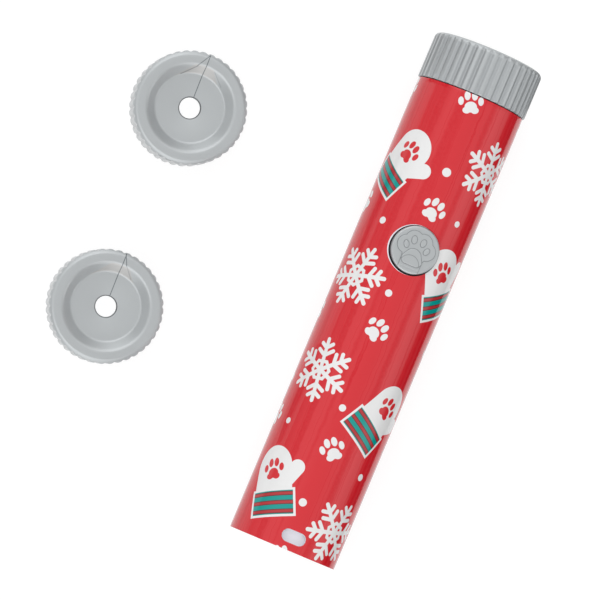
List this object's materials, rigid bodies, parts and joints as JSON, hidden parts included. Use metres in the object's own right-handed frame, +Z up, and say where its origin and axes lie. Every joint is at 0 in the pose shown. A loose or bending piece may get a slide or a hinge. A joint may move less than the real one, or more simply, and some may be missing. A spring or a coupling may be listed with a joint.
{
  "type": "cat laser pointer",
  "caption": "Pocket laser pointer for cats: glossy printed tube, thumb button with a raised paw, ribbed push-on pattern head, spare heads and a battery sled in the tail.",
  "frame": {"origin": "centre of the box round the pointer and its two loose heads, on the table", "axes": "+Y along the tube, the way the beam leaves; +Z up, square to the button's face; +X to the right"},
  "size_m": [0.0822, 0.1194, 0.026],
  "materials": {
    "tube_print": "white moulded tube with a glossy red print",
    "head_plastic": "silver-flecked moulded plastic, satin gloss",
    "button_plastic": "silver-flecked moulded plastic, satin gloss",
    "clear_plastic": "clear pressed plastic",
    "lens_glass": "clear polished",
    "black_plastic": "fine moulded texture",
    "pale_plastic": "plain moulded",
    "rubber": "smooth moulded",
    "spring_steel": "drawn wire, plated",
    "nickel_plate": "nickel plated sheet",
    "screw_steel": "zinc plated",
    "brass": "turned",
    "board_green": "solder mask",
    "component_black": "moulded",
    "lead_red": "smooth sleeve",
    "lead_black": "smooth sleeve",
    "cell_wrap": "printed film over a metal can"
  },
  "bodies": {
    "pointer": {"body_tube": "tube_print", "nose_collar": "black_plastic", "button_spring": "spring_steel", "switch_body": "black_plastic", "circuit_board": "board_green", "board_components": "component_black", "chassis_lower": "pale_plastic", "chassis_upper": "pale_plastic", "chassis_screws": "screw_steel", "laser_barrel": "brass", "laser_diode": "brass", "lens_spring": "spring_steel", "collimator_lens": "lens_glass", "lens_nut": "brass", "driver_board": "board_green", "lead_red": "lead_red", "lead_black": "lead_black", "front_positive_contact": "nickel_plate", "front_negative_contact": "nickel_plate", "front_contact_spring": "spring_steel"},
    "o_ring": {"nose_o_ring": "rubber"},
    "head": {"head_shell": "head_plastic", "head_pattern_disc": "clear_plastic", "head_disc_ring": "black_plastic"},
    "button": {"button_cap": "button_plastic", "switch_plunger": "black_plastic"},
    "sled": {"battery_sled": "pale_plastic", "tail_plug": "pale_plastic", "tail_plug_screws": "screw_steel", "battery_left": "cell_wrap", "battery_right": "cell_wrap", "tail_contact_plate": "nickel_plate", "tail_contact_spring": "spring_steel"},
    "spare_head_1": {"spare_head_1_shell": "head_plastic", "spare_head_1_pattern_disc": "clear_plastic", "spare_head_1_disc_ring": "black_plastic"},
    "spare_head_2": {"spare_head_2_shell": "head_plastic", "spare_head_2_pattern_disc": "clear_plastic", "spare_head_2_disc_ring": "black_plastic"}
  },
  "joints": [
    {"name": "button_press", "type": "slide", "parent": "pointer", "child": "button", "axis": [0, 0, -1], "range_m": [0, 0.001], "stiffness_N_per_m": 1200, "deforming": ["button_spring"]},
    {"name": "head_twist", "type": "hinge", "parent": "pointer", "child": "o_ring", "pos_m": [0.02835, 0.05135, 0.0128], "axis": [0, 1, 0], "continuous": true},
    {"name": "head_pull", "type": "slide", "parent": "o_ring", "child": "head", "axis": [0, 1, 0], "range_m": [0, 0.015]},
    {"name": "sled_pull", "type": "slide", "parent": "pointer", "child": "sled", "axis": [0, -1, 0], "range_m": [0, 0.06]},
    {"name": "spare_head_1_lift", "type": "slide", "parent": "pointer", "child": "spare_head_1", "axis": [0, 0, 1], "range_m": [0, 0.04]},
    {"name": "spare_head_2_lift", "type": "slide", "parent": "pointer", "child": "spare_head_2", "axis": [0, 0, 1], "range_m": [0, 0.04]}
  ]
}
